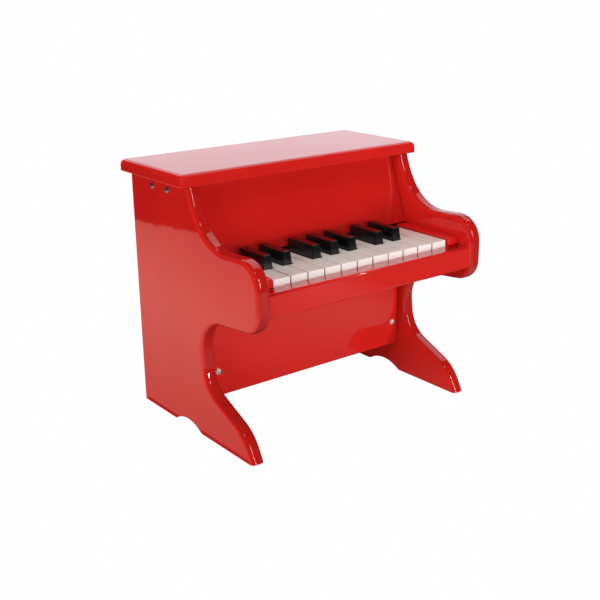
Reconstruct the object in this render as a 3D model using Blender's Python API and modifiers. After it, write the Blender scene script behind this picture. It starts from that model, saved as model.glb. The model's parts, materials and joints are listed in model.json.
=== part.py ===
"""A child's wooden upright piano: lacquered case, eighteen pivoted keys, hammers and chime rods.

Metres, +Z up. X runs across the keyboard with the bass end at -X and the player sits at -Y. Each piece
is laid out with the backs of the side panels at Y = 0 and the feet on Z = 0, under an empty that
puts the world origin on the floor below the middle of the piano.
"""
import math

import bmesh
import bpy
from mathutils import Matrix, Vector

# ---------------------------------------------------------------- driving dimensions
HALF_WIDTH = 0.1525         # centre to the outer face of a side panel
PANEL = 0.016               # side panel thickness
LID_UNDER = 0.270           # underside of the lid
LID_THICK = 0.013
LID_SIDE = 0.0080           # lid overhang past each side panel
LID_FRONT = -0.1185
LID_REAR = 0.0109
NOSE = -0.2350              # front of the key arms
TOE = -0.2185               # tip of the front feet
FIT = 0.0003                # gap left between pieces that touch
KEY_PITCH = 0.0216
KEY_GAP = 0.0013
KEY_TOP = 0.1895
KEY_THICK = 0.014
KEY_FRONT = -0.2136
KEY_REAR = -0.042
SHARP_FRONT = -0.1786       # front of a black key's stick
SHARP_REAR = -0.1336        # back of its raised cap
SHARP_WIDTH = 0.0125
SHARP_TOP_WIDTH = 0.0100
SHARP_TOP = 0.2030
SHARP_RAKE = 0.0018         # how far the cap's front leans back
KEY_AXIS = (-0.098, 0.1825)  # Y and Z of the key pivot rod
HAMMER_AXIS = (-0.030, 0.199)
ROD_RADIUS = 0.0015
BORE_RADIUS = 0.0018
SEAT_DEPTH = 0.008          # how deep a pivot rod sits in each side panel
HAMMER_WIDTH = 0.007
CHIME_Z = 0.2418
CHIME_RADIUS = 0.0015
CHIME_LONG = 0.058
CHIME_SHORT = 0.040
KEYBED_TOP = 0.1665
KEYBED_THICK = 0.0065
SLIP_FRONT = -0.2318
SLIP_REAR = -0.2144
SLIP_TOP = 0.1820
SLIP_BOTTOM = 0.1567
BLOCK_TOP = 0.1918
BLOCK_FRONT = -0.2163
UPPER_FOOT = (-0.1300, 0.1923)   # Y and Z of the slanted panel's lower front edge
UPPER_HEAD_Y = -0.1019           # its face where it meets the lid
BOARD = 0.009               # thickness of the two front panels
LOWER_FACE = -0.1194
LOWER_BOTTOM = 0.0367
BACK_THICK = 0.005
BACK_FACE = -0.0013
RAIL_FRONT = -0.088         # board under the lid that carries the chimes
RAIL_REAR = -0.024
RAIL_BOTTOM = 0.254
SCREW_ROW = 0.0655          # height of the screws in the lower front panel
SCREW_X = 0.1266
SIDE_SCREWS_Y = (-0.0765, -0.0460)
SIDE_SCREWS_Z = 0.2614
PANEL_HEAD_RADIUS = 0.0036
SIDE_HEAD_RADIUS = 0.0042
DOME = 0.0024               # height of a screw's head
PANEL_SCREW_LENGTH = 0.018
SIDE_SCREW_LENGTH = 0.030
SHANK_RADIUS = 0.0015
HOLE_RADIUS = 0.0018
FRONT_ROUND = 0.0048        # rounding along the front of a side panel
EASE = 0.0008               # every other sawn edge of a side panel
LID_ROUND = 0.006
SLIP_ROUND = 0.0022
KEY_EASE = 0.0005
INNER = HALF_WIDTH - PANEL
BETWEEN = INNER - FIT       # half length of what fits between the side panels

WHITE_NAMES = ("C1", "D1", "E1", "F1", "G1", "A1", "B1", "C2", "D2", "E2", "F2")
# Black keys: name, the white-key boundary it stands over, and its shift from that boundary.
BLACK_KEYS = (("Cs1", 1, -0.0018), ("Ds1", 2, 0.0012), ("Fs1", 4, -0.0034), ("Gs1", 5, -0.0004),
              ("As1", 6, 0.0026), ("Cs2", 8, -0.0022), ("Ds2", 9, 0.0018))

RED = (0.62, 0.012, 0.010, 1.0)
WHITE = (0.86, 0.80, 0.74, 1.0)
BLACK = (0.012, 0.013, 0.015, 1.0)
STEEL = (0.62, 0.64, 0.66, 1.0)
IRON = (0.10, 0.10, 0.11, 1.0)
BARE_WOOD = (0.66, 0.48, 0.30, 1.0)
FELT = (0.32, 0.05, 0.05, 1.0)
MOULDED = (0.80, 0.79, 0.75, 1.0)

for old in list(bpy.data.objects):
    bpy.data.objects.remove(old, do_unlink=True)

PARTS = bpy.data.collections.new("toy_upright_piano")
CUTTERS = bpy.data.collections.new("cutters")
bpy.context.scene.collection.children.link(PARTS)
bpy.context.scene.collection.children.link(CUTTERS)


# ---------------------------------------------------------------- helpers
def finish_as(obj, colour, roughness, metallic=0.0):
    """Give the object its own Principled material."""
    mat = bpy.data.materials.new(obj.name + "_finish")
    mat.use_nodes = True
    shader = mat.node_tree.nodes["Principled BSDF"]
    shader.inputs["Base Color"].default_value = colour
    shader.inputs["Roughness"].default_value = roughness
    shader.inputs["Metallic"].default_value = metallic
    mat.diffuse_color = colour
    obj.data.materials.clear()
    obj.data.materials.append(mat)
    return obj


def add_object(name, mesh, collection=PARTS):
    """Link a mesh into the scene as a named object."""
    obj = bpy.data.objects.new(name, mesh)
    collection.objects.link(obj)
    return obj


def from_bmesh(name, bm, collection=PARTS):
    """Turn a bmesh into a named object."""
    mesh = bpy.data.meshes.new(name)
    bm.to_mesh(mesh)
    bm.free()
    return add_object(name, mesh, collection)


def box(name, low, high, collection=PARTS):
    """Axis-aligned block between two corners."""
    bm = bmesh.new()
    bmesh.ops.create_cube(bm, size=1.0)
    size = Vector(high) - Vector(low)
    bmesh.ops.scale(bm, vec=size, verts=bm.verts)
    bmesh.ops.translate(bm, vec=Vector(low) + size / 2, verts=bm.verts)
    return from_bmesh(name, bm, collection)


def cylinder(name, start, end, radius, segments=24, collection=PARTS):
    """Round bar between two points."""
    axis = Vector(end) - Vector(start)
    bm = bmesh.new()
    bmesh.ops.create_cone(bm, cap_ends=True, segments=segments, radius1=radius, radius2=radius,
                          depth=axis.length)
    turn = axis.to_track_quat('Z', 'Y').to_matrix().to_4x4()
    bmesh.ops.transform(bm, matrix=Matrix.Translation((Vector(start) + Vector(end)) / 2) @ turn,
                        verts=bm.verts)
    obj = from_bmesh(name, bm, collection)
    obj.data.shade_smooth()
    obj.data.set_sharp_from_angle(angle=math.radians(40))
    return obj


def rounded(corners, step=math.radians(12)):
    """Points of a closed outline whose corners (u, v, radius) are turned by tangent arcs."""
    points = []
    count = len(corners)
    for i, (u, v, radius) in enumerate(corners):
        here = Vector((u, v))
        before = (Vector(corners[i - 1][:2]) - here).normalized()
        after = (Vector(corners[(i + 1) % count][:2]) - here).normalized()
        half = before.angle(after) / 2
        if radius == 0.0:
            points.append(here)
            continue
        centre = here + (before + after).normalized() * radius / math.sin(half)
        first = here + before * radius / math.tan(half) - centre
        sweep = math.pi - 2 * half
        if before.x * after.y - before.y * after.x > 0:
            sweep = -sweep
        pieces = max(2, round(abs(sweep) / step))
        for k in range(pieces + 1):
            points.append(centre + Matrix.Rotation(sweep * k / pieces, 2) @ first)
    return points


def plate(name, points, axis, low, high):
    """Flat outline given a thickness along X (points are Y, Z) or along Z (points are X, Y)."""
    curve = bpy.data.curves.new(name, 'CURVE')
    curve.dimensions = '2D'
    curve.fill_mode = 'BOTH'
    curve.extrude = (high - low) / 2
    spline = curve.splines.new('POLY')
    spline.points.add(len(points) - 1)
    for knot, point in zip(spline.points, points):
        knot.co = (point[0], point[1], 0.0, 1.0)
    spline.use_cyclic_u = True
    outline = add_object(name + "_outline", curve)
    middle = (low + high) / 2
    if axis == 'X':
        turn = Matrix(((0, 0, 1), (1, 0, 0), (0, 1, 0))).to_4x4()
        outline.matrix_world = Matrix.Translation((middle, 0, 0)) @ turn
    else:
        outline.matrix_world = Matrix.Translation((0, 0, middle))
    bpy.context.view_layer.update()
    evaluated = outline.evaluated_get(bpy.context.evaluated_depsgraph_get())
    mesh = bpy.data.meshes.new_from_object(evaluated)
    mesh.transform(outline.matrix_world)
    bm = bmesh.new()
    bm.from_mesh(mesh)
    bmesh.ops.remove_doubles(bm, verts=bm.verts, dist=0.00001)
    bmesh.ops.dissolve_limit(bm, angle_limit=math.radians(0.5), verts=bm.verts, edges=bm.edges)
    bmesh.ops.recalc_face_normals(bm, faces=bm.faces)
    bm.to_mesh(mesh)
    bm.free()
    bpy.data.objects.remove(outline)
    mesh.name = name
    return add_object(name, mesh)


def soften(obj, width, segments, weight):
    """Bevel the edges for which weight(middle, direction) is above zero, by width x weight."""
    mesh = obj.data
    layer = mesh.attributes.new("bevel_weight_edge", 'FLOAT', 'EDGE')
    for edge in mesh.edges:
        first, second = (mesh.vertices[i].co for i in edge.vertices)
        layer.data[edge.index].value = weight((first + second) / 2, (second - first).normalized())
    bevel = obj.modifiers.new("rounding", 'BEVEL')
    bevel.limit_method = 'WEIGHT'
    bevel.width = width
    bevel.segments = segments
    bevel.use_clamp_overlap = False
    return obj


def cut(obj, cutter, operation='DIFFERENCE'):
    """Boolean the cutter with the object."""
    boolean = obj.modifiers.new(cutter.name, 'BOOLEAN')
    boolean.operation = operation
    boolean.solver = 'EXACT'
    boolean.object = cutter
    cutter.hide_render = True
    cutter.display_type = 'WIRE'


def turn_about(obj, pivot):
    """Move the object's origin to its hinge axis and leave its shape where it is."""
    obj.data.transform(Matrix.Translation(-Vector(pivot)))
    obj.location = pivot
    return obj


# ---------------------------------------------------------------- case
def side_outline():
    """Y, Z corners of a side panel: foot arch, toe, knee notch, key arm and swept front."""
    return rounded((
        (0.0, 0.0, 0.0), (0.0, LID_UNDER - FIT, 0.0), (-0.1150, LID_UNDER - FIT, 0.0),
        (-0.1213, 0.2517, 0.1140), (-0.1474, 0.2112, 0.0590), (NOSE, 0.2162, 0.0287),
        (NOSE, 0.1428, 0.0236), (-0.1257, 0.1319, 0.0388), (-0.1340, 0.0587, 0.0367),
        (-0.2028, 0.0287, 0.0533), (TOE, 0.0, 0.0), (-0.1225, 0.0, 0.0097),
        (-0.0949, 0.0146, 0.0456), (-0.0687, 0.0, 0.0059)), math.radians(9))


def side_rounding(middle, direction):
    """Full rounding along the front of the outline, from the lid down to the tip of the toe."""
    on_face = abs(direction.x) < 0.5
    at_lid_or_back = middle.z > LID_UNDER - 2 * FIT or middle.y > -0.0001
    underneath = middle.z < 0.0001 or (middle.z < 0.012 and middle.y > TOE + 0.05)
    return 1.0 if on_face and not at_lid_or_back and not underneath else 0.0


def side_panel(name, side):
    """One of the two mirrored side panels, side = -1 for the bass end."""
    low, high = sorted((side * INNER, side * HALF_WIDTH))
    panel = plate(name, side_outline(), 'X', low, high)
    soften(panel, FRONT_ROUND, 3, side_rounding)
    easing = panel.modifiers.new("easing", 'BEVEL')
    easing.limit_method = 'ANGLE'
    easing.angle_limit = math.radians(50)
    easing.width = EASE
    easing.segments = 1
    return finish_as(panel, RED, 0.12)


def lid():
    """Top board with a generous round-over on its upper edges."""
    half = HALF_WIDTH + LID_SIDE
    top = LID_UNDER + LID_THICK
    board = box("lid", (-half, LID_FRONT, LID_UNDER), (half, LID_REAR, top))

    def weight(middle, direction):
        if abs(direction.z) > 0.5:
            return 0.5
        return 1.0 if middle.z > LID_UNDER + LID_THICK / 2 else 0.15

    soften(board, LID_ROUND, 4, weight)
    return finish_as(board, RED, 0.12)


def upper_front_panel():
    """Slanted board above the keys."""
    foot_y, foot_z = UPPER_FOOT
    head_z = LID_UNDER - FIT
    lean = math.atan2(UPPER_HEAD_Y - foot_y, head_z - foot_z)
    depth = BOARD / math.cos(lean)
    points = ((foot_y, foot_z), (UPPER_HEAD_Y, head_z), (UPPER_HEAD_Y + depth, head_z),
              (foot_y + depth, foot_z))
    return finish_as(plate("upper_front_panel", points, 'X', -BETWEEN, BETWEEN), RED, 0.12)


def lower_front_panel():
    """Upright board under the keybed, set back between the legs."""
    panel = box("lower_front_panel", (-BETWEEN, LOWER_FACE, LOWER_BOTTOM),
                (BETWEEN, LOWER_FACE + BOARD, KEYBED_TOP - KEYBED_THICK - FIT))
    return finish_as(panel, RED, 0.12)


def back_panel():
    """Thin board closing the back."""
    panel = box("back_panel", (-BETWEEN, BACK_FACE - BACK_THICK, LOWER_BOTTOM),
                (BETWEEN, BACK_FACE, LID_UNDER - FIT))
    return finish_as(panel, RED, 0.3)


def keybed():
    """Board under the keys, from the slip to the back panel."""
    bed = box("keybed", (-BETWEEN, SLIP_REAR + FIT, KEYBED_TOP - KEYBED_THICK),
              (BETWEEN, BACK_FACE - BACK_THICK - FIT, KEYBED_TOP))
    return finish_as(bed, BARE_WOOD, 0.6)


def key_slip():
    """Rail across the front of the keys, its long edges eased."""
    slip = box("key_slip", (-BETWEEN, SLIP_FRONT, SLIP_BOTTOM), (BETWEEN, SLIP_REAR, SLIP_TOP))

    def weight(middle, direction):
        return 1.0 if abs(direction.x) > 0.5 and middle.y < SLIP_REAR - 0.001 else 0.0

    soften(slip, SLIP_ROUND, 3, weight)
    return finish_as(slip, RED, 0.12)


def key_block(name, side):
    """Cheek beside the end key, standing on the keybed and lapping over the slip."""
    ledge = SLIP_TOP + FIT
    back = UPPER_FOOT[0] - 0.0015
    outline = rounded(((BLOCK_FRONT, ledge, 0.0), (BLOCK_FRONT, BLOCK_TOP, 0.0040),
                       (back, BLOCK_TOP, 0.0), (back, KEYBED_TOP + FIT, 0.0),
                       (SLIP_REAR + FIT, KEYBED_TOP + FIT, 0.0), (SLIP_REAR + FIT, ledge, 0.0)))
    inner = KEY_PITCH * len(WHITE_NAMES) / 2 + 0.0012
    low, high = sorted((side * inner, side * BETWEEN))
    return finish_as(plate(name, outline, 'X', low, high), RED, 0.12)


def top_rail():
    """Board under the lid that the chime comb hangs from."""
    rail = box("top_rail", (-BETWEEN, RAIL_FRONT, RAIL_BOTTOM),
               (BETWEEN, RAIL_REAR, LID_UNDER - FIT))
    return finish_as(rail, BARE_WOOD, 0.6)


def lower_rail():
    """Batten behind the lower front panel that its two screws bite into."""
    rail = box("lower_rail", (-BETWEEN, LOWER_FACE + BOARD + FIT, SCREW_ROW - 0.010),
               (BETWEEN, LOWER_FACE + BOARD + 0.016, SCREW_ROW + 0.010))
    return finish_as(rail, BARE_WOOD, 0.6)


def felt_strip(name, front, rear, top):
    """Strip of felt across the keybed under the keys."""
    half = KEY_PITCH * len(WHITE_NAMES) / 2
    strip = box(name, (-half, front, KEYBED_TOP + FIT), (half, rear, top))
    return finish_as(strip, FELT, 0.95)


# ---------------------------------------------------------------- keys
def boundary(i):
    """X of the line between white keys i and i + 1, counted from the bass end."""
    return (i - len(WHITE_NAMES) / 2) * KEY_PITCH


def black_centre(i):
    """X of the black key over boundary i, or None."""
    for _, place, shift in BLACK_KEYS:
        if place == i:
            return boundary(i) + shift
    return None


def white_edges(i):
    """X limits of white key i: its wide head, then the tail that passes between black keys."""
    head = (boundary(i) + KEY_GAP / 2, boundary(i + 1) - KEY_GAP / 2)
    left, right = black_centre(i), black_centre(i + 1)
    reach = SHARP_WIDTH / 2 + KEY_GAP
    tail = (head[0] if left is None else left + reach, head[1] if right is None else right - reach)
    return head, tail


def key_rounding(middle, direction):
    """Eased top and front edges."""
    on_top = middle.z > KEY_TOP - 0.0001
    front_corner = middle.y < KEY_FRONT + 0.0001 and abs(direction.z) > 0.5
    return 1.0 if on_top or front_corner else 0.0


def white_key(i):
    """Wooden key: wide head, notches for its black neighbours, tail back to the hammer."""
    head, tail = white_edges(i)
    notch = SHARP_FRONT - KEY_GAP
    outline = [(head[0], KEY_FRONT), (head[1], KEY_FRONT)]
    if tail[1] < head[1]:
        outline += [(head[1], notch), (tail[1], notch)]
    outline += [(tail[1], KEY_REAR), (tail[0], KEY_REAR)]
    if tail[0] > head[0]:
        outline += [(tail[0], notch), (head[0], notch)]
    key = plate("white_key_" + WHITE_NAMES[i], outline, 'Z', KEY_TOP - KEY_THICK, KEY_TOP)
    soften(key, KEY_EASE, 1, key_rounding)
    turn_about(key, ((tail[0] + tail[1]) / 2, *KEY_AXIS))
    return finish_as(key, WHITE, 0.3)


def sharp_cap(name, centre):
    """Tapered block raised on a black key's stick."""
    foot = KEY_TOP - 0.0015
    rear = rounded(((SHARP_FRONT + 0.0002, foot, 0.0),
                    (SHARP_FRONT + SHARP_RAKE, SHARP_TOP, 0.0008),
                    (SHARP_REAR, SHARP_TOP, 0.0020), (SHARP_REAR, foot, 0.0)),
                   math.radians(45))
    cap = plate(name, rear, 'X', centre - SHARP_WIDTH / 2 + 0.0001, centre + SHARP_WIDTH / 2 - 0.0001)
    taper = (SHARP_WIDTH - SHARP_TOP_WIDTH) / 2 / (SHARP_TOP - foot)
    for vertex in cap.data.vertices:
        inward = math.copysign(taper * (vertex.co.z - foot), centre - vertex.co.x)
        vertex.co.x += inward
    return cap


def black_key(name, i):
    """Black key: a stick level with the white tails and a tapered cap on its front half."""
    centre = black_centre(i)
    half = SHARP_WIDTH / 2
    stick = box("black_key_" + name, (centre - half, SHARP_FRONT, KEY_TOP - KEY_THICK),
                (centre + half, KEY_REAR, KEY_TOP - 0.0005))
    cap = sharp_cap(name + "_cap", centre)
    PARTS.objects.unlink(cap)
    CUTTERS.objects.link(cap)
    cut(stick, cap, 'UNION')
    turn_about(stick, (centre, *KEY_AXIS))
    return finish_as(stick, BLACK, 0.22)


# ---------------------------------------------------------------- action
def hammer(name, centre):
    """Moulded lever: hub on the rod, arm forward over the key, foot, shank and round head."""
    y, z = HAMMER_AXIS
    outline = rounded((
        (y + 0.0045, z - 0.0045, 0.0044), (y + 0.0045, z + 0.0045, 0.0044),
        (y - 0.010, z + 0.0030, 0.0), (y - 0.0300, z + 0.0030, 0.0020),
        (y - 0.0310, z + 0.0240, 0.0), (y - 0.0280, z + 0.0360, 0.0040),
        (y - 0.0390, z + 0.0360, 0.0040), (y - 0.0360, z + 0.0240, 0.0),
        (y - 0.0350, z - 0.0030, 0.0020), (y - 0.0190, z - 0.0030, 0.0),
        (y - 0.0190, z - 0.0090, 0.0010), (y - 0.0150, z - 0.0090, 0.0010),
        (y - 0.0150, z - 0.0030, 0.0)), math.radians(30))
    lever = plate(name, outline, 'X', centre - HAMMER_WIDTH / 2, centre + HAMMER_WIDTH / 2)
    turn_about(lever, (centre, y, z))
    return finish_as(lever, MOULDED, 0.45)


def chime_comb(centres):
    """Heavy bar with one tuned rod for each hammer, longest at the bass end."""
    bar = box("chime_comb", (-0.124, -0.040, 0.2337), (0.124, RAIL_REAR, RAIL_BOTTOM - FIT))
    for i, centre in enumerate(centres):
        length = CHIME_LONG + (CHIME_SHORT - CHIME_LONG) * i / (len(centres) - 1)
        rod = cylinder("chime_rod_%02d" % (i + 1), (centre, -0.038, CHIME_Z),
                       (centre, -0.040 - length, CHIME_Z), CHIME_RADIUS, 10, CUTTERS)
        cut(bar, rod, 'UNION')
    return finish_as(bar, IRON, 0.45, 0.9)


def pivot_rod(name, axis):
    """Steel rod along X, its ends in the side panels, with the bore that it runs in."""
    half = INNER + SEAT_DEPTH
    rod = cylinder(name, (-half, *axis), (half, *axis), ROD_RADIUS, 16)
    bore = cylinder(name + "_bore", (-half - FIT, *axis), (half + FIT, *axis), BORE_RADIUS, 16, CUTTERS)
    return finish_as(rod, STEEL, 0.3, 1.0), bore


# ---------------------------------------------------------------- screws
def screw(name, place, outward, head_radius, length):
    """Dome-head screw turned about its axis, with a crossed driver recess; and its hole's cutter."""
    bm = bmesh.new()
    steps = 5
    profile = []
    for k in range(steps + 1):
        angle = math.pi / 2 * k / steps
        profile.append((head_radius * math.sin(angle), DOME * math.cos(angle)))
    profile += [(head_radius, 0.0), (SHANK_RADIUS, 0.0), (SHANK_RADIUS, -length), (0.0, -length)]
    verts = [bm.verts.new((r, 0.0, h + FIT)) for r, h in profile if r or h]
    for first, second in zip(verts, verts[1:]):
        if (first.co - second.co).length > 1e-7:
            bm.edges.new((first, second))
    bmesh.ops.remove_doubles(bm, verts=bm.verts, dist=0.00001)
    fastener = from_bmesh(name, bm)
    turn = fastener.modifiers.new("turned", 'SCREW')
    turn.axis = 'Z'
    turn.steps = 20
    turn.render_steps = 20
    turn.use_merge_vertices = True
    turn.merge_threshold = 0.00001
    turn.use_normal_calculate = True
    slot_depth = DOME * 0.55
    for k in range(2):
        size = Vector((head_radius * 1.1, head_radius * 0.26, DOME))
        wing = box("%s_recess_%d" % (name, k), -size / 2, size / 2, CUTTERS)
        wing.data.transform(Matrix.Rotation(math.pi / 2 * k, 4, 'Z'))
        wing.parent = fastener
        wing.location = (0.0, 0.0, FIT + DOME * 1.5 - slot_depth)
        cut(fastener, wing)
    hole = cylinder(name + "_hole", (0, 0, 0.004), (0, 0, -length), HOLE_RADIUS, 16, CUTTERS)
    hole.parent = fastener
    fastener.matrix_world = (Matrix.Translation(place)
                             @ Vector(outward).to_track_quat('Z', 'Y').to_matrix().to_4x4())
    return finish_as(fastener, STEEL, 0.25, 1.0), hole


# ---------------------------------------------------------------- assembly
left = side_panel("left_side_panel", -1)
right = side_panel("right_side_panel", 1)
lid()
upper_front_panel()
lower = lower_front_panel()
back_panel()
keybed()
key_slip()
key_block("left_key_block", -1)
key_block("right_key_block", 1)
upper_rail = top_rail()
batten = lower_rail()

key_rod, key_bore = pivot_rod("key_pivot_rod", KEY_AXIS)
hammer_rod, hammer_bore = pivot_rod("hammer_pivot_rod", HAMMER_AXIS)
for panel in (left, right):
    cut(panel, key_bore)
    cut(panel, hammer_bore)

keys = [white_key(i) for i in range(len(WHITE_NAMES))]
keys += [black_key(name, i) for name, i, _ in BLACK_KEYS]
for key in keys:
    cut(key, key_bore)

keys.sort(key=lambda key: key.location.x)
centres = [key.location.x for key in keys]
for key, centre in zip(keys, centres):
    note = key.name.split("_")[-1]
    cut(hammer("hammer_" + note, centre), hammer_bore)
chime_comb(centres)

felt_strip("key_stop_felt", -0.2080, -0.1900, 0.1687)
felt_strip("key_rest_felt", -0.0520, -0.0440, KEY_TOP - KEY_THICK - FIT)

for side_name, side in (("left", -1), ("right", 1)):
    fastener, hole = screw("lower_panel_screw_" + side_name, (side * SCREW_X, LOWER_FACE, SCREW_ROW),
                           (0, -1, 0), PANEL_HEAD_RADIUS, PANEL_SCREW_LENGTH)
    cut(lower, hole)
    cut(batten, hole)
    for place, y in zip(("front", "rear"), SIDE_SCREWS_Y):
        fastener, hole = screw("side_screw_%s_%s" % (side_name, place),
                               (side * HALF_WIDTH, y, SIDE_SCREWS_Z), (side, 0, 0),
                               SIDE_HEAD_RADIUS, SIDE_SCREW_LENGTH)
        cut(left if side < 0 else right, hole)
        cut(upper_rail, hole)

floor_centre = bpy.data.objects.new("floor_centre", None)
bpy.context.scene.collection.objects.link(floor_centre)
floor_centre.location.y = -(NOSE + LID_REAR) / 2
for piece in list(PARTS.objects) + list(CUTTERS.objects):
    if piece.parent is None:
        piece.parent = floor_centre
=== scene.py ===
"""Looks of the lacquered toy upright piano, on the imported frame.

Metres, in the frame of the CAD model: +X to the treble end, the player at -Y, the floor at Z = 0.
Layout distances along Y are measured from the backs of the side panels, as in the CAD model.
"""
import json
import math
import random

import bmesh
import bpy
from mathutils import Matrix, Vector


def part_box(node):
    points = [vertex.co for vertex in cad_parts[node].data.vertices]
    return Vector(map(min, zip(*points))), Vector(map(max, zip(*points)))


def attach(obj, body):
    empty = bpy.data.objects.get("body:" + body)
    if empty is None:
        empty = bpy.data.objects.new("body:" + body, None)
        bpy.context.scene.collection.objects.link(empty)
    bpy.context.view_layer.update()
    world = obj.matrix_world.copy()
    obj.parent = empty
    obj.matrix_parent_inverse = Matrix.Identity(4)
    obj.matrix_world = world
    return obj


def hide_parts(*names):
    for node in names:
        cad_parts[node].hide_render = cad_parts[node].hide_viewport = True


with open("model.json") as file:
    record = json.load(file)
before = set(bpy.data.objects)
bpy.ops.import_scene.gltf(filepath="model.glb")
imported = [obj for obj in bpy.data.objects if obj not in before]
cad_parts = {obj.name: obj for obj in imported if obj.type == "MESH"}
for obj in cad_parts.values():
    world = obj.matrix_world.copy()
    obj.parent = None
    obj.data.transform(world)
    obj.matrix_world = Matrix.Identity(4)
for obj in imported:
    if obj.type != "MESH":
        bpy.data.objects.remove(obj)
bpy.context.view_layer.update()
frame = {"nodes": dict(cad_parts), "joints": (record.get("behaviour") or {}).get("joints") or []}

# ---------------------------------------------------------------- sizes read from the frame
PANEL_LOW, PANEL_HIGH = (Vector(corner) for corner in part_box("left_side_panel"))
BACK = PANEL_HIGH.y                     # backs of the side panels
HALF_WIDTH = -PANEL_LOW.x               # centre to the outer face of a side panel
INNER = -PANEL_HIGH.x                   # centre to the inner face
PANEL_TOP = PANEL_HIGH.z
NOSE = PANEL_LOW.y - BACK               # front of the key arms, from the back
JOINTS = {joint["name"]: joint for joint in frame["joints"]}

# ---------------------------------------------------------------- sizes shared with the CAD model
TOE = -0.2185               # front of the feet, from the back
KEY_GAP = 0.0013            # between neighbouring keys
SLIP_GAP = 0.0003           # between the key slip and the cheeks
SLOPE_THICKNESS = 0.009     # slanted board, square to its face
SLOPE_RUN = 0.0281          # how far back it leans over its height
BORE_RADIUS = 0.0018        # pivot holes
DRILL_PAST = 0.002          # how far the drill that cuts them reaches past the key
STEM_RADIUS = 0.0015        # screws below the head
CAP_LENGTH = 0.0450         # black key's raised front part

# ---------------------------------------------------------------- sizes of the finish
BOARD_GAP = 0.0004          # shadow line at each end of the lower and back panels
FRONT_ROUND = 0.0048        # rounding along the front of a side panel
LID_ROUND = 0.0060          # rounding along the top of the lid
SLIP_ROUND = 0.0022         # rounding along the key slip
EASE = 0.0008               # every other sawn edge, softened by sanding and lacquer
PANEL_EASE = 0.0004         # square edges of the side panels
EDGE_TILT = 0.62            # a side panel's edge band, darkened as painted shade: faces whose normals have less X than this
CHEEK_EASE = 0.0012         # blocks beside the end keys
KEY_EASE = 0.0007           # white keys
CAP_EASE = 0.0011           # black keys
KEY_DROP = 0.00025          # most that a white key's top sits low
CAP_TAPER = 0.00125         # how much a black key narrows on each side
SIDE_HEAD_RADIUS = 0.0037   # screw heads under the lid
CROSS_TURN = math.radians(20)           # how far the screws' cross recesses are turned

# ---------------------------------------------------------------- the studio
LIGHT_CENTRE = Vector((0.0, 0.0, 0.12)) # what the soft boxes face
FLOOR = -0.0004             # just under the feet
FLOOR_REACH = 25.0
LEFT_FACE = -0.158          # where the floor to the left of the piano begins
FLOOR_RED_BOUNCE = (1.0, 0.62, 0.52, 1.0)     # painted red bounce light from the side panels, on the mirrored floor
LENS = 58.87                            # millimetres, on a 36 mm sensor
EYE = (-0.65005, -0.9539, 0.47042)      # camera, in layout distances
YAW, PITCH, ROLL = (math.radians(angle) for angle in (-37.298, -18.32, -0.696))

WHITE_ORDER = ("C1", "D1", "E1", "F1", "G1", "A1", "B1", "C2", "D2", "E2", "F2")
BLACK_ORDER = ("Cs1", "Ds1", "Fs1", "Gs1", "As1", "Cs2", "Ds2")

PIECES = bpy.data.collections.new("piano_pieces")
STUDIO = bpy.data.collections.new("studio")
bpy.context.scene.collection.children.link(PIECES)
bpy.context.scene.collection.children.link(STUDIO)


# ---------------------------------------------------------------- shape helpers
def limits(node):
    """Two corners of a CAD piece's box."""
    return tuple(Vector(corner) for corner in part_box(node))


def add_object(name, mesh, collection=PIECES):
    """Link a mesh into the scene as a named object."""
    obj = bpy.data.objects.new(name, mesh)
    collection.objects.link(obj)
    return obj


def from_bmesh(name, bm, collection=PIECES):
    """Turn a bmesh into a named object."""
    mesh = bpy.data.meshes.new(name)
    bm.to_mesh(mesh)
    bm.free()
    return add_object(name, mesh, collection)


def block(name, low, high):
    """Axis-aligned block between two corners."""
    bm = bmesh.new()
    bmesh.ops.create_cube(bm, size=1.0)
    size = Vector(high) - Vector(low)
    bmesh.ops.scale(bm, vec=size, verts=bm.verts)
    bmesh.ops.translate(bm, vec=Vector(low) + size / 2, verts=bm.verts)
    return from_bmesh(name, bm)


def rounded(corners, step=math.radians(4)):
    """Points of a closed outline whose corners (u, v, radius) are turned by tangent arcs."""
    points = []
    for i, (u, v, radius) in enumerate(corners):
        here = Vector((u, v))
        before = (Vector(corners[i - 1][:2]) - here).normalized()
        after = (Vector(corners[(i + 1) % len(corners)][:2]) - here).normalized()
        if radius == 0.0:
            points.append(here)
            continue
        half = before.angle(after) / 2
        centre = here + (before + after).normalized() * radius / math.sin(half)
        first = here + before * radius / math.tan(half) - centre
        sweep = math.pi - 2 * half
        if before.x * after.y - before.y * after.x > 0:
            sweep = -sweep
        pieces = max(3, round(abs(sweep) / step))
        for k in range(pieces + 1):
            points.append(centre + Matrix.Rotation(sweep * k / pieces, 2) @ first)
    return points


def plate(name, points, axis, low, high):
    """Flat outline given a thickness along X (points are Y from the back, Z) or Z (X, Y)."""
    bm = bmesh.new()
    if axis == 'X':
        verts = [bm.verts.new((low, BACK + u, v)) for u, v in points]
        along = Vector((high - low, 0.0, 0.0))
    else:
        verts = [bm.verts.new((u, BACK + v, low)) for u, v in points]
        along = Vector((0.0, 0.0, high - low))
    face = bm.faces.new(verts)
    grown = bmesh.ops.extrude_face_region(bm, geom=[face])
    moved = [item for item in grown["geom"] if isinstance(item, bmesh.types.BMVert)]
    bmesh.ops.translate(bm, vec=along, verts=moved)
    bmesh.ops.recalc_face_normals(bm, faces=bm.faces)
    return from_bmesh(name, bm)


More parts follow.
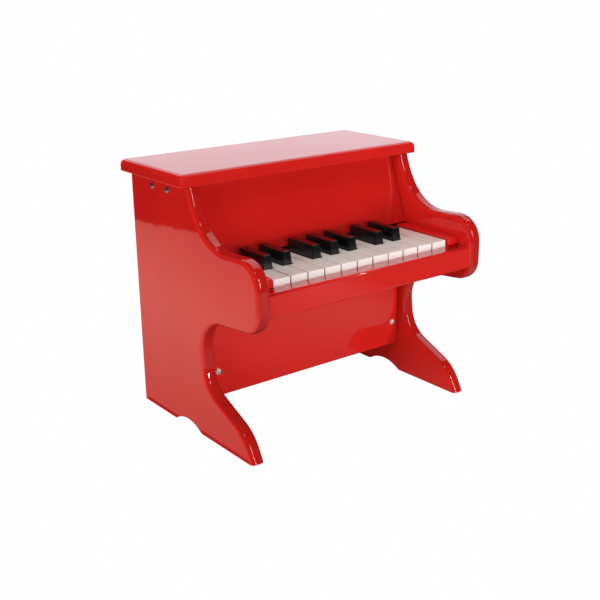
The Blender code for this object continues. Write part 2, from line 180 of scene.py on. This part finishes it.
def bevel_edges(obj, width, segments, weight):
    """Round the edges for which weight(middle, direction) is above zero, by width x weight."""
    mesh = obj.data
    layer = mesh.attributes.new("bevel_weight_edge", 'FLOAT', 'EDGE')
    for edge in mesh.edges:
        first, second = (mesh.vertices[i].co for i in edge.vertices)
        layer.data[edge.index].value = weight((first + second) / 2, (second - first).normalized())
    bevel = obj.modifiers.new("rounding", 'BEVEL')
    bevel.limit_method = 'WEIGHT'
    bevel.width = width
    bevel.segments = segments
    bevel.use_clamp_overlap = False
    return obj


def ease(obj, width=EASE, segments=2, angle=50):
    """Soften every edge sharper than the angle, as sanding does before lacquer."""
    bevel = obj.modifiers.new("easing", 'BEVEL')
    bevel.limit_method = 'ANGLE'
    bevel.angle_limit = math.radians(angle)
    bevel.width = width
    bevel.segments = segments
    return obj


def smooth(obj):
    """Smooth shading with the flat faces kept flat."""
    obj.data.shade_smooth()
    weighted = obj.modifiers.new("flat_faces", 'WEIGHTED_NORMAL')
    weighted.keep_sharp = True
    weighted.mode = 'FACE_AREA'
    return obj


def bake_modifiers(obj):
    """Turn the object's modifiers into its mesh."""
    bpy.context.view_layer.update()
    evaluated = obj.evaluated_get(bpy.context.evaluated_depsgraph_get())
    mesh = bpy.data.meshes.new_from_object(evaluated)
    obj.modifiers.clear()
    obj.data = mesh
    return obj


def bore(obj, y, z, x_low, x_high):
    """Cut the round hole for a pivot rod along X."""
    bm = bmesh.new()
    bmesh.ops.create_cone(bm, cap_ends=True, segments=24, radius1=BORE_RADIUS, radius2=BORE_RADIUS,
                          depth=x_high - x_low)
    turn = Matrix.Rotation(math.pi / 2, 4, 'Y')
    bmesh.ops.transform(bm, matrix=Matrix.Translation(((x_low + x_high) / 2, y, z)) @ turn,
                        verts=bm.verts)
    drill = from_bmesh(obj.name + "_drill", bm)
    cut = obj.modifiers.new("bore", 'BOOLEAN')
    cut.operation = 'DIFFERENCE'
    cut.solver = 'EXACT'
    cut.object = drill
    bake_modifiers(obj)
    bpy.data.objects.remove(drill)
    return obj


def stand_for(piece, node, body, material):
    """Ride the piece on a body in place of its CAD node, with its material."""
    piece.data.materials.clear()
    piece.data.materials.append(material)
    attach(piece, body)
    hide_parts(node)
    return piece


# ---------------------------------------------------------------- materials
class Nodes:
    """Short way to build a material's nodes."""

    def __init__(self, name):
        self.material = bpy.data.materials.new(name)
        self.material.use_nodes = True
        self.tree = self.material.node_tree
        self.shader = self.tree.nodes["Principled BSDF"]
        self.place = self.add("ShaderNodeTexCoord").outputs["Object"]

    def add(self, kind, **settings):
        node = self.tree.nodes.new(kind)
        for key, value in settings.items():
            setattr(node, key, value)
        return node

    def link(self, source, target):
        self.tree.links.new(source, target)

    def stretched(self, scale, turn=(0.0, 0.0, 0.0)):
        """Object coordinates scaled by a vector."""
        mapping = self.add("ShaderNodeMapping")
        mapping.inputs["Scale"].default_value = scale
        mapping.inputs["Rotation"].default_value = turn
        self.link(self.place, mapping.inputs["Vector"])
        return mapping.outputs["Vector"]

    def noise(self, vector, scale, detail=2.0, roughness=0.5, distortion=0.0):
        node = self.add("ShaderNodeTexNoise")
        node.inputs["Scale"].default_value = scale
        node.inputs["Detail"].default_value = detail
        node.inputs["Roughness"].default_value = roughness
        node.inputs["Distortion"].default_value = distortion
        self.link(vector, node.inputs["Vector"])
        return node.outputs["Fac"]

    def range(self, value, from_low, from_high, to_low, to_high):
        node = self.add("ShaderNodeMapRange")
        for key, number in (("From Min", from_low), ("From Max", from_high),
                            ("To Min", to_low), ("To Max", to_high)):
            node.inputs[key].default_value = number
        self.link(value, node.inputs["Value"])
        return node.outputs["Result"]

    def blend(self, factor, first, second):
        """Colour between two colours or colour sockets."""
        node = self.add("ShaderNodeMix", data_type='RGBA')
        self.link(factor, node.inputs["Factor"])
        for key, colour in (("A", first), ("B", second)):
            socket = [s for s in node.inputs if s.name == key and s.type == 'RGBA'][0]
            if isinstance(colour, tuple):
                socket.default_value = colour
            else:
                self.link(colour, socket)
        return [s for s in node.outputs if s.type == 'RGBA'][0]

    def bump(self, height, strength, distance, normal=None):
        node = self.add("ShaderNodeBump")
        node.inputs["Strength"].default_value = strength
        node.inputs["Distance"].default_value = distance
        self.link(height, node.inputs["Height"])
        if normal is not None:
            self.link(normal, node.inputs["Normal"])
        return node.outputs["Normal"]

    def set(self, **values):
        """Set the shader's own sockets by name, with _ for a space."""
        for key, value in values.items():
            self.shader.inputs[key.replace("_", " ").title().replace("Ior", "IOR")].default_value = value

    def wire(self, **sources):
        for key, source in sources.items():
            self.link(source, self.shader.inputs[key.replace("_", " ").title()])


def red_lacquer(name, grain, depth=1.0):
    """Thick gloss lacquer: orange peel, slow waviness, and a trace of the board along its grain. A depth
    under 1 darkens the whole colour, as painted shade.
    """
    def shade(red, green, blue):
        return (red * depth, green * depth, blue * depth, 1.0)

    m = Nodes(name)
    m.set(ior=1.5)
    cloud = m.noise(m.place, 9.0, 3.0)
    streak = m.noise(m.stretched(grain), 1.0, 4.0, 0.6)
    base = m.blend(m.range(cloud, 0.3, 0.7, 0.0, 1.0),
                   shade(0.60, 0.0130, 0.0105), shade(0.66, 0.0170, 0.0125))
    base = m.blend(m.range(streak, 0.35, 0.75, 0.0, 0.12), base, shade(0.52, 0.0100, 0.0090))
    m.wire(base_color=base, roughness=m.range(m.noise(m.place, 60.0, 3.0), 0.3, 0.7, 0.02, 0.04))
    waves = m.bump(m.noise(m.place, 26.0, 1.0), 0.20, 0.0006)
    peel = m.bump(m.noise(m.place, 330.0, 2.0), 0.10, 0.00012, waves)
    m.link(m.bump(streak, 0.05, 0.0002, peel), m.shader.inputs["Normal"])
    return m.material


def white_paint(name, light, dark):
    """Off-white paint brushed over close-grained wood that runs along the key."""
    m = Nodes(name)
    m.set(ior=1.5, coat_weight=0.25, coat_roughness=0.12)
    grain = m.noise(m.stretched((900.0, 22.0, 900.0)), 1.0, 5.0, 0.62)
    patch = m.noise(m.place, 30.0, 3.0)
    base = m.blend(m.range(patch, 0.3, 0.7, 0.0, 1.0), light, dark)
    base = m.blend(m.range(grain, 0.55, 0.80, 0.0, 0.35), base, (0.66, 0.59, 0.52, 1.0))
    m.wire(base_color=base, roughness=m.range(grain, 0.3, 0.7, 0.26, 0.42))
    m.link(m.bump(grain, 0.22, 0.00025), m.shader.inputs["Normal"])
    return m.material


def black_paint():
    """Gloss black paint over wood, a little grey where the grain stands up."""
    m = Nodes("black_key_paint")
    m.set(ior=1.5)
    grain = m.noise(m.stretched((1100.0, 30.0, 1100.0)), 1.0, 5.0, 0.65)
    base = m.blend(m.range(grain, 0.45, 0.8, 0.0, 1.0),
                   (0.0040, 0.0042, 0.0045, 1.0), (0.012, 0.012, 0.013, 1.0))
    m.wire(base_color=base, roughness=m.range(grain, 0.3, 0.7, 0.10, 0.20))
    m.link(m.bump(grain, 0.30, 0.00025), m.shader.inputs["Normal"])
    return m.material


def metal(name, colour, low, high, scale=400.0, metallic=1.0):
    """Bare or plated metal with a fine uneven surface, its roughness between low and high."""
    m = Nodes(name)
    m.set(metallic=metallic)
    wear = m.noise(m.place, scale, 4.0)
    dull = tuple(channel * 0.72 for channel in colour[:3]) + (1.0,)
    m.wire(base_color=m.blend(m.range(wear, 0.4, 0.75, 0.0, 1.0), colour, dull),
           roughness=m.range(wear, 0.3, 0.7, low, high))
    m.link(m.bump(wear, 0.12, 0.0001), m.shader.inputs["Normal"])
    return m.material


def bare_wood(name, along, light, dark):
    """Sanded softwood with its grain stretched by a factor along one axis."""
    m = Nodes(name)
    m.set(ior=1.45)
    broad = tuple(4.0 if axis == along else 120.0 for axis in "XYZ")
    fine = tuple(40.0 if axis == along else 1500.0 for axis in "XYZ")
    ring = m.noise(m.stretched(broad), 1.0, 5.0, 0.6, 0.6)
    fibre = m.noise(m.stretched(fine), 1.0, 3.0)
    base = m.blend(m.range(ring, 0.3, 0.7, 0.0, 1.0), light, dark)
    base = m.blend(m.range(fibre, 0.5, 0.9, 0.0, 0.5), base, (0.36, 0.21, 0.10, 1.0))
    m.wire(base_color=base, roughness=m.range(fibre, 0.2, 0.8, 0.55, 0.8))
    m.link(m.bump(fibre, 0.3, 0.0002), m.shader.inputs["Normal"])
    return m.material


def felt():
    """Pressed red felt."""
    m = Nodes("felt_strip")
    m.set(sheen_weight=0.5, sheen_roughness=0.5)
    fluff = m.noise(m.place, 1400.0, 4.0, 0.7)
    m.wire(base_color=m.blend(fluff, (0.20, 0.02, 0.02, 1.0), (0.36, 0.05, 0.05, 1.0)),
           roughness=m.range(fluff, 0.0, 1.0, 0.85, 1.0))
    m.link(m.bump(fluff, 0.8, 0.0006), m.shader.inputs["Normal"])
    return m.material


def moulded_plastic():
    """Natural-coloured moulded plastic of the hammers."""
    m = Nodes("hammer_plastic")
    m.set(ior=1.46, subsurface_weight=0.1)
    skin = m.noise(m.place, 500.0, 3.0)
    m.wire(base_color=m.blend(skin, (0.74, 0.72, 0.66, 1.0), (0.80, 0.78, 0.73, 1.0)),
           roughness=m.range(skin, 0.3, 0.7, 0.38, 0.52))
    m.link(m.bump(skin, 0.15, 0.0001), m.shader.inputs["Normal"])
    return m.material


UPRIGHT_GRAIN = (300.0, 300.0, 6.0)
CROSS_GRAIN = (6.0, 300.0, 300.0)
LACQUER_UP = red_lacquer("red_lacquer_upright", UPRIGHT_GRAIN)
LACQUER_ACROSS = red_lacquer("red_lacquer_across", CROSS_GRAIN)
# the slanted board's lacquer, darkened to 0.90 as painted shade
LACQUER_SLOPE_SHADED = red_lacquer("red_lacquer_slope_painted_shade", CROSS_GRAIN, 0.90)
# the side panels' edge band lacquer, darkened to 0.74 as painted shade
LACQUER_EDGE_SHADE = red_lacquer("red_lacquer_edge_painted_shade", UPRIGHT_GRAIN, 0.74)
WHITE = white_paint("white_key_paint", (0.855, 0.815, 0.765, 1.0), (0.80, 0.745, 0.69, 1.0))
# whiter paint for the key fronts: painted light
WHITE_FRONT_LIT = white_paint("white_key_front_painted_light", (0.92, 0.92, 0.89, 1.0), (0.88, 0.88, 0.85, 1.0))
BLACK = black_paint()
ZINC = metal("zinc_screw", (0.80, 0.83, 0.86, 1.0), 0.20, 0.34, metallic=0.45)
# dark steel for the side screws, its colour darkened as painted shade
STEEL_SHADED = metal("steel_screw_painted_shade", (0.30, 0.31, 0.34, 1.0), 0.16, 0.28, metallic=0.9)
ROD = metal("drawn_rod", (0.56, 0.57, 0.58, 1.0), 0.22, 0.38)
CHIME = metal("chime_iron", (0.20, 0.20, 0.21, 1.0), 0.38, 0.6, 250.0)
WOOD = bare_wood("bare_wood", "X", (0.60, 0.41, 0.23, 1.0), (0.44, 0.27, 0.13, 1.0))
# bare wood for the key sides, which also darkens the gaps between keys as painted shade
KEY_SIDE_WOOD_GAP_SHADE = bare_wood("key_side_wood_gap_shade", "Y", (0.66, 0.60, 0.50, 1.0), (0.50, 0.44, 0.34, 1.0))
FELT = felt()
PLASTIC = moulded_plastic()


# ---------------------------------------------------------------- case
def side_panel(name, node, low, high):
    """Side panel with its front edges rounded, the rest lightly eased, and a darker lacquer round its edge
    as painted shade.
    """
    outline = rounded((
        (0.0, 0.0, 0.0), (0.0, PANEL_TOP, 0.0), (-0.1150, PANEL_TOP, 0.0),
        (-0.1213, 0.2517, 0.1140), (-0.1474, 0.2112, 0.0590), (NOSE, 0.2162, 0.0287),
        (NOSE, 0.1428, 0.0236), (-0.1257, 0.1319, 0.0388), (-0.1340, 0.0587, 0.0367),
        (-0.2028, 0.0287, 0.0533), (TOE, 0.0, 0.0), (-0.1225, 0.0, 0.0097),
        (-0.0949, 0.0146, 0.0456), (-0.0687, 0.0, 0.0059)))
    panel = plate(name, outline, 'X', low, high)
    near_floor = 0.012
    behind_toe = BACK + TOE + 0.05

    def weight(middle, direction):
        """Full on the sweeping front edges; none at the top, the back and under the foot."""
        around_outline = abs(direction.x) < 0.5
        at_top_or_back = middle.z > PANEL_TOP - 0.0001 or middle.y > BACK - 0.0001
        underneath = middle.z < 0.0001 or (middle.z < near_floor and middle.y > behind_toe)
        return 1.0 if around_outline and not at_top_or_back and not underneath else 0.0

    bevel_edges(panel, FRONT_ROUND, 6, weight)
    bake_modifiers(ease(panel, PANEL_EASE))
    smooth(panel)
    stand_for(panel, node, "case", LACQUER_UP)
    # darker lacquer on the edge band: painted shade
    panel.data.materials.append(LACQUER_EDGE_SHADE)
    for face in panel.data.polygons:
        if abs(face.normal.x) < EDGE_TILT:
            face.material_index = 1


def lid():
    """Top board, rounded over on its upper edges."""
    low, high = limits("lid")
    board = block("lid_board", low, high)
    middle_z = (low.z + high.z) / 2

    def weight(middle, direction):
        if abs(direction.z) > 0.5:
            return 0.5
        return 1.0 if middle.z > middle_z else 0.15

    bevel_edges(board, LID_ROUND, 8, weight)
    smooth(board)
    stand_for(board, "lid", "case", LACQUER_ACROSS)


def boards():
    """The slanted panel, lower panel and back panel, with eased edges."""
    low, high = limits("upper_front_panel")
    depth = SLOPE_THICKNESS / math.cos(math.atan2(SLOPE_RUN, high.z - low.z))
    front, rear = low.y - BACK, high.y - BACK
    points = ((front, low.z), (rear - depth, high.z), (rear, high.z), (front + depth, low.z))
    upper = plate("slanted_board", points, 'X', low.x, high.x)
    smooth(ease(upper))
    # darker lacquer on the slanted board: painted shade
    stand_for(upper, "upper_front_panel", "case", LACQUER_SLOPE_SHADED)
    for node in ("lower_front_panel", "back_panel"):
        low, high = limits(node)
        gap = Vector((BOARD_GAP, 0.0, 0.0))
        board = block(node.replace("_panel", "_board"), low + gap, high - gap)
        smooth(ease(board))
        stand_for(board, node, "case", LACQUER_ACROSS)


def slip_rail():
    """Rail in front of the keys, rounded along its front edges."""
    low, high = limits("key_slip")
    slip = block("slip_rail", low, high)

    def weight(middle, direction):
        return 1.0 if abs(direction.x) > 0.5 and middle.y < high.y - 0.001 else 0.0

    bevel_edges(slip, SLIP_ROUND, 5, weight)
    smooth(slip)
    stand_for(slip, "key_slip", "case", LACQUER_ACROSS)


def cheeks():
    """Block at each end of the keys, notched over the slip and rounded at its top front edge."""
    slip_high = limits("key_slip")[1]
    ledge = slip_high.z + SLIP_GAP
    step = slip_high.y - BACK + SLIP_GAP
    for node in ("left_key_block", "right_key_block"):
        low, high = limits(node)
        front, rear = low.y - BACK, high.y - BACK
        outline = rounded(((front, ledge, 0.0), (front, high.z, 0.0040), (rear, high.z, 0.0),
                           (rear, low.z, 0.0), (step, low.z, 0.0), (step, ledge, 0.0)))
        cheek = plate(node.replace("key_block", "cheek"), outline, 'X', low.x, high.x)
        smooth(ease(cheek, CHEEK_EASE, 3))
        stand_for(cheek, node, "case", LACQUER_UP)


# ---------------------------------------------------------------- keys
def key_joint(note):
    """Y and Z of a key's pivot."""
    place = JOINTS["key_%s_press" % note]["pos_m"]
    return place[1], place[2]


def white_keys():
    """Wooden keys, notched beside the black ones, their tops uneven by up to KEY_DROP."""
    rng = random.Random(18)
    sharps = [limits("black_key_" + note) for note in BLACK_ORDER]
    notch = sharps[0][0].y - KEY_GAP - BACK
    for note in WHITE_ORDER:
        low, high = limits("white_key_" + note)
        front, rear = low.y - BACK, high.y - BACK
        left = [s for s in sharps if s[0].x < low.x < s[1].x]
        right = [s for s in sharps if s[0].x < high.x < s[1].x]
        points = [(low.x, front), (high.x, front)]
        tail_right, tail_left = high.x, low.x
        if right:
            tail_right = right[0][0].x - KEY_GAP
            points += [(high.x, notch), (tail_right, notch)]
        if left:
            tail_left = left[0][1].x + KEY_GAP
        points += [(tail_right, rear), (tail_left, rear)]
        if left:
            points += [(tail_left, notch), (low.x, notch)]
        top = high.z + rng.uniform(-KEY_DROP, 0.0)
        key = plate("white_" + note, points, 'Z', low.z, top)
        ease(key, KEY_EASE, 3, 60)
        y, z = key_joint(note)
        bore(key, y, z, low.x - DRILL_PAST, high.x + DRILL_PAST)
        smooth(key)
        stand_for(key, "white_key_" + note, "key_" + note, WHITE)
        paint_key_faces(key)


def paint_key_faces(key):
    """Bare wood on a white key's sides, which also paints shade into the gaps, and a whiter paint on its
    front as painted light.
    """
    # bare wood on the sides: unpainted wood, and painted shade in the gaps
    key.data.materials.append(KEY_SIDE_WOOD_GAP_SHADE)
    # whiter paint for the fronts: painted light
    key.data.materials.append(WHITE_FRONT_LIT)
    for face in key.data.polygons:
        # sides in bare wood: real unpainted wood and painted shade in the gaps
        if abs(face.normal.x) > 0.95:
            face.material_index = 1
        # front faces get the whiter paint: painted light
        elif face.normal.y < -0.85:
            face.material_index = 2


def black_keys():
    """Black keys: a stick between the white tails and a tapered, softened cap on its front half."""
    white_top = limits("white_key_C1")[1].z
    foot = white_top - 0.0015
    taper = CAP_TAPER / (limits("black_key_Cs1")[1].z - foot)
    for note in BLACK_ORDER:
        low, high = limits("black_key_" + note)
        stick = block("black_%s_stick" % note, low, (high.x, high.y, white_top - 0.0005))
        ease(stick, 0.0004, 2)
        front = low.y - BACK
        outline = ((front + 0.0002, foot), (front + 0.0018, high.z),
                   (front + CAP_LENGTH, high.z), (front + CAP_LENGTH, foot))
        cap = plate("black_" + note, outline, 'X', low.x + 0.0001, high.x - 0.0001)
        centre = (low.x + high.x) / 2
        for vertex in cap.data.vertices:
            vertex.co.x += math.copysign(taper * (vertex.co.z - foot), centre - vertex.co.x)
        ease(cap, CAP_EASE, 4, 30)
        joined = cap.modifiers.new("stick", 'BOOLEAN')
        joined.operation = 'UNION'
        joined.solver = 'EXACT'
        joined.object = stick
        bake_modifiers(cap)
        bpy.data.objects.remove(stick)
        y, z = key_joint(note)
        bore(cap, y, z, low.x - DRILL_PAST, high.x + DRILL_PAST)
        smooth(cap)
        stand_for(cap, "black_key_" + note, "key_" + note, BLACK)


# ---------------------------------------------------------------- screws
def dome_screw(name, radius, rise, length):
    """Dome head that rises over Z = 0, on a plain stem that goes down from it."""
    quarter = [math.pi / 2 * k / 10 for k in range(11)]
    profile = [(radius * math.sin(angle), rise * math.cos(angle)) for angle in quarter]
    profile += [(radius * 0.985, 0.0002), (STEM_RADIUS, 0.0002), (STEM_RADIUS, -length), (0.0, -length)]
    bm = bmesh.new()
    chain = [bm.verts.new((r, 0.0, h)) for r, h in profile]
    edges = [bm.edges.new(pair) for pair in zip(chain, chain[1:])]
    bmesh.ops.spin(bm, geom=edges, cent=(0, 0, 0), axis=(0, 0, 1), angle=math.tau, steps=40)
    bmesh.ops.remove_doubles(bm, verts=bm.verts, dist=0.00001)
    bmesh.ops.recalc_face_normals(bm, faces=bm.faces)
    return from_bmesh(name, bm)


def cut_cross(head, radius, rise):
    """Cross recess in the middle of a screw head."""
    for turn in (CROSS_TURN, CROSS_TURN + math.pi / 2):
        wing = block(head.name + "_wing", (-radius * 0.58, -radius * 0.13, rise * 0.35),
                     (radius * 0.58, radius * 0.13, rise * 2))
        wing.data.transform(Matrix.Rotation(turn, 4, 'Z'))
        recess = head.modifiers.new("recess", 'BOOLEAN')
        recess.operation = 'DIFFERENCE'
        recess.solver = 'EXACT'
        recess.object = wing
        bake_modifiers(head)
        bpy.data.objects.remove(wing)


def screw(node):
    """Screw with a cross recess on the CAD screw's axis, in a dark steel at the sides, darkened as painted
    shade, and zinc in front.
    """
    low, high = limits(node)
    size = high - low
    centre = (low + high) / 2
    if node.startswith("side"):
        outward = Vector((math.copysign(1.0, centre.x), 0.0, 0.0))
        face = Vector((outward.x * HALF_WIDTH, centre.y, centre.z))
        rise = max(high.x, -low.x) - HALF_WIDTH
        head = dome_screw(node + "_head", SIDE_HEAD_RADIUS, rise, size.x - rise)
        cut_cross(head, SIDE_HEAD_RADIUS, rise)
        # darkened steel: painted shade
        metal_look = STEEL_SHADED
    else:
        outward = Vector((0.0, -1.0, 0.0))
        face = Vector((centre.x, limits("lower_front_panel")[0].y, centre.z))
        rise = face.y - low.y
        head = dome_screw(node + "_head", size.x / 2, rise, size.y - rise)
        cut_cross(head, size.x / 2, rise)
        metal_look = ZINC
    turn = outward.to_track_quat('Z', 'Y').to_matrix().to_4x4()
    head.data.transform(Matrix.Translation(face) @ turn)
    head.data.shade_smooth()
    head.data.set_sharp_from_angle(angle=math.radians(35))
    stand_for(head, node, "case", metal_look)


# ---------------------------------------------------------------- inside
def inside():
    """Finish the CAD pieces that stay: rails, rods, chimes, felt and hammers."""
    looks = {"keybed": WOOD, "top_rail": WOOD, "lower_rail": WOOD, "key_pivot_rod": ROD,
             "hammer_pivot_rod": ROD, "chime_comb": CHIME, "key_stop_felt": FELT,
             "key_rest_felt": FELT}
    for note in WHITE_ORDER + BLACK_ORDER:
        looks["hammer_" + note] = PLASTIC
    for node, material in looks.items():
        obj = frame["nodes"][node]
        obj.data.materials.clear()
        obj.data.materials.append(material)


# ---------------------------------------------------------------- studio
def fill_light(name, azimuth, elevation, distance, size, power):
    """Soft box that lights the surfaces but isn't mirrored in the lacquer, 0 degrees in front."""
    data = bpy.data.lights.new(name, 'AREA')
    data.shape = 'SQUARE'
    data.size = size
    data.energy = power
    lamp = bpy.data.objects.new(name, data)
    around, above = math.radians(azimuth), math.radians(elevation)
    level = math.cos(above)
    away = Vector((math.sin(around) * level, -math.cos(around) * level, math.sin(above)))
    lamp.location = LIGHT_CENTRE + away * distance
    lamp.rotation_euler = away.to_track_quat('Z', 'Y').to_euler()
    lamp.visible_camera = False
    lamp.visible_glossy = False
    STUDIO.objects.link(lamp)


def faded_glow(m, strength, fades):
    """Glow that rises from faint to full between two layout distances along a direction.

    A fade is (along X, along Y, from, to, faint), and several fades are multiplied together.
    """
    glow = None
    for along_x, along_y, start, end, faint in fades:
        reach = m.add("ShaderNodeVectorMath", operation='DOT_PRODUCT')
        reach.inputs[1].default_value = (along_x, along_y, 0.0)
        m.link(m.place, reach.inputs[0])
        shift = along_y * BACK
        rise = m.range(reach.outputs["Value"], start + shift, end + shift, faint, 1.0)
        if glow is None:
            glow = m.range(rise, 0.0, 1.0, 0.0, strength)
        else:
            product = m.add("ShaderNodeMath", operation='MULTIPLY')
            m.link(glow, product.inputs[0])
            m.link(rise, product.inputs[1])
            glow = product.outputs[0]
    return glow


def glowing(name, corners, strength, colour=(1.0, 1.0, 1.0, 1.0), fades=()):
    """Flat glowing sheet between corners in layout distances."""
    bm = bmesh.new()
    bm.faces.new([bm.verts.new((x, y + BACK, z)) for x, y, z in corners])
    sheet = from_bmesh(name, bm, STUDIO)
    m = Nodes(name)
    m.set(base_color=(0.0, 0.0, 0.0, 1.0), specular_ior_level=0.0, roughness=1.0,
          emission_color=colour, emission_strength=strength)
    if fades:
        m.link(faded_glow(m, strength, fades), m.shader.inputs["Emission Strength"])
    sheet.data.materials.append(m.material)
    sheet.visible_shadow = False
    return sheet


def mirrored(name, corners, strength, colour=(1.0, 1.0, 1.0, 1.0), fades=()):
    """Sheet that shows only in the lacquer's reflections."""
    sheet = glowing(name, corners, strength, colour, fades)
    sheet.visible_camera = False
    sheet.visible_diffuse = False


def upright(x_low, y_low, x_high, y_high, z_low, z_high):
    """Corners of a standing rectangle over a line on the floor."""
    return ((x_low, y_low, z_low), (x_high, y_high, z_low), (x_high, y_high, z_high), (x_low, y_low, z_high))


def on_floor(corners):
    """Corners (x, y) laid on the floor."""
    return [(x, y, FLOOR) for x, y in corners]


def surround():
    """White floor and white room, for the camera alone."""
    world = bpy.data.worlds.new("room")
    world.use_nodes = True
    backdrop = world.node_tree.nodes["Background"]
    backdrop.inputs["Color"].default_value = (1.0, 1.0, 1.0, 1.0)
    backdrop.inputs["Strength"].default_value = 1.0
    seen = world.cycles_visibility
    seen.diffuse = seen.glossy = seen.transmission = False
    bpy.context.scene.world = world
    corners = ((-1, -1), (1, -1), (1, 1), (-1, 1))
    floor = glowing("floor", on_floor([(x * FLOOR_REACH, y * FLOOR_REACH) for x, y in corners]), 1.0)
    floor.visible_glossy = False
    floor.visible_diffuse = False


def lights():
    """Soft boxes round the piano: azimuth, elevation, distance, size and power."""
    fill_light("front_fill", -22, 8, 1.8, 0.9, 9.0)
    fill_light("low_fill", 5, -6, 1.8, 0.9, 7.0)
    fill_light("left_fill", -80, 14, 1.8, 0.9, 21.0)
    fill_light("near_fill", 34, 7, 0.9, 0.22, 2.8)
    fill_light("back_fill", 160, 25, 1.8, 0.9, 14.0)
    fill_light("right_fill", 95, 20, 1.8, 0.9, 9.0)
    fill_light("top_fill", 0, 88, 1.8, 1.4, 16.0)
    fill_light("floor_fill", 0, -88, 0.16, 2.4, 5.0)


def mirrored_walls():
    """Sheets that the lid and the rounded edges mirror."""
    mirrored("back_sheet", upright(-0.4, 2.0, 5.0, 2.0, 0.35, 4.5), 1.22, (0.96, 1.0, 1.05, 1.0))
    mirrored("strip", upright(0.58, -1.85, 0.72, -1.75, 0.33, 1.5), 32.0)
    ceiling = 2.5
    mirrored("upper_sheet", ((0.8, -0.4, ceiling), (2.6, -0.4, ceiling), (2.6, 2.0, ceiling),
                             (0.8, 2.0, ceiling)), 1.3)
    mirrored("high_strip", ((-0.3, -0.95, 1.80), (0.3, -0.95, 1.80), (0.3, -1.05, 1.65),
                            (-0.3, -1.05, 1.65)), 4.0)


def mirrored_floor():
    """Patches of bright floor that the upright panels mirror, faded towards most of their edges; the fades
    near and under the piano are its shadow, painted into the glow.

    The wavy far edge of the left one gives the uneven upper limit of the left panel's pale part.
    """
    far_edge = ((-0.650, 0.500), (-0.615, 0.630), (-0.600, 0.690), (-0.578, 0.770), (-0.583, 0.830),
                (-0.450, 2.730))
    left = ((-1.4, -0.9), *far_edge, (LEFT_FACE, 2.730), (LEFT_FACE, -1.3))
    # red tint: painted bounce light; the fade near the panel: painted shadow of the piano
    mirrored("left_floor", on_floor(left), 1.35, FLOOR_RED_BOUNCE,
             ((1.0, 0.0, -0.70, -0.38, 0.50), (-1.0, 0.0, 0.155, 0.32, 0.55),
              (0.68, 0.73, -0.95, -0.65, 0.0)))
    behind = ((LEFT_FACE, 0.002), (0.16, 0.002), (0.16, 0.25), (LEFT_FACE, 0.25))
    # red tint: painted bounce light; faded to nothing under the piano as painted shadow
    mirrored("behind_floor", on_floor(behind), 1.0, FLOOR_RED_BOUNCE,
             ((0.0, -1.0, -0.25, -0.02, 0.0), (-1.0, 0.0, -0.16, -0.04, 0.0)))
    front = ((LEFT_FACE, 0.0), (3.0, 0.0), (3.0, -2.0), (LEFT_FACE, -2.0))
    # faint under the keyboard and near the piano: painted shadow of the piano
    mirrored("front_floor", on_floor(front), 0.55, (1.0, 0.95, 0.9, 1.0),
             ((1.0, 0.0, -0.10, 0.20, 0.2), (-1.0, 0.0, -0.37, -0.28, 0.2),
              (0.0, -1.0, 0.08, 0.30, 0.05), (0.0, 1.0, -1.6, -0.8, 0.0)))


def camera():
    """Camera at the front left, a little above the lid."""
    data = bpy.data.cameras.new("camera")
    data.sensor_width = 36.0
    data.lens = LENS
    eye = bpy.data.objects.new("camera", data)
    turn = (Matrix.Rotation(YAW, 4, 'Z') @ Matrix.Rotation(math.pi / 2 + PITCH, 4, 'X')
            @ Matrix.Rotation(ROLL, 4, 'Z'))
    eye.matrix_world = Matrix.Translation((EYE[0], EYE[1] + BACK, EYE[2])) @ turn
    STUDIO.objects.link(eye)
    bpy.context.scene.camera = eye


side_panel("left_side", "left_side_panel", -HALF_WIDTH, -INNER)
side_panel("right_side", "right_side_panel", INNER, HALF_WIDTH)
lid()
boards()
slip_rail()
cheeks()
white_keys()
black_keys()
for node in frame["nodes"]:
    if "screw" in node:
        screw(node)
inside()
surround()
lights()
mirrored_walls()
mirrored_floor()
camera()
bpy.context.scene.view_settings.view_transform = 'Standard'
